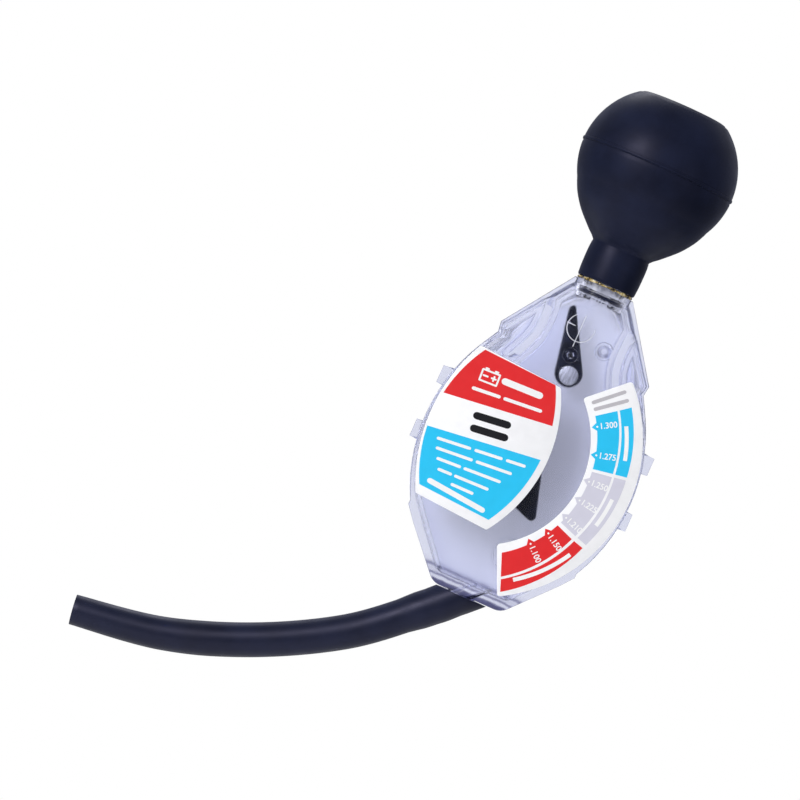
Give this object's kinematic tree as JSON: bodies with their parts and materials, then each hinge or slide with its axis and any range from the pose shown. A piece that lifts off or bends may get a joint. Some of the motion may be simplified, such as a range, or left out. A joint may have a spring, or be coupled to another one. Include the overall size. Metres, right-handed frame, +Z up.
{
  "type": "battery hydrometer",
  "caption": "Dial hydrometer: clear case with a swinging float pointer and plumb, a rubber squeeze bulb above and a curved suction hose below.",
  "frame": {"origin": "centre of the squeeze bulb, on the plane of its moulding seam, where a hand holds the tester", "axes": "+Z up along the common axis of bulb and case, +Y from the dial to the back of the case, +X to the right when facing the dial"},
  "size_m": [0.1423, 0.049, 0.2167],
  "materials": {
    "bulb_rubber": "semi-matte moulded rubber",
    "hose_rubber": "semi-matte extruded rubber",
    "seal_rubber": "matte",
    "clear_case": "clear moulded plastic with a faint violet tint",
    "label_print": "printed sticker in white, red, blue and grey",
    "pointer_plastic": "satin",
    "weight_metal": "dull metal",
    "pin_metal": "drawn wire",
    "adhesive": "dried glue"
  },
  "bodies": {
    "case": {"squeeze_bulb": "bulb_rubber", "neck_adhesive_bead": "adhesive", "neck_seal": "seal_rubber", "front_shell": "clear_case", "back_shell": "clear_case", "face_label": "label_print", "scale_label": "label_print", "float_pivot_pin": "pin_metal", "plumb_pivot_pin": "pin_metal", "suction_hose": "hose_rubber"},
    "float": {"float_pointer": "pointer_plastic", "float_ballast": "weight_metal"},
    "plumb": {"plumb_pointer": "pointer_plastic", "plumb_weight": "weight_metal"}
  },
  "joints": [
    {"name": "float_swing", "type": "hinge", "parent": "case", "child": "float", "pos_m": [-0.0146, 0, -0.09478], "axis": [0, -1, 0], "range_deg": [-66, 84]},
    {"name": "plumb_swing", "type": "hinge", "parent": "case", "child": "plumb", "pos_m": [-0.0013, 0, -0.06162], "axis": [0, -1, 0], "range_deg": [-52, 11]}
  ]
}
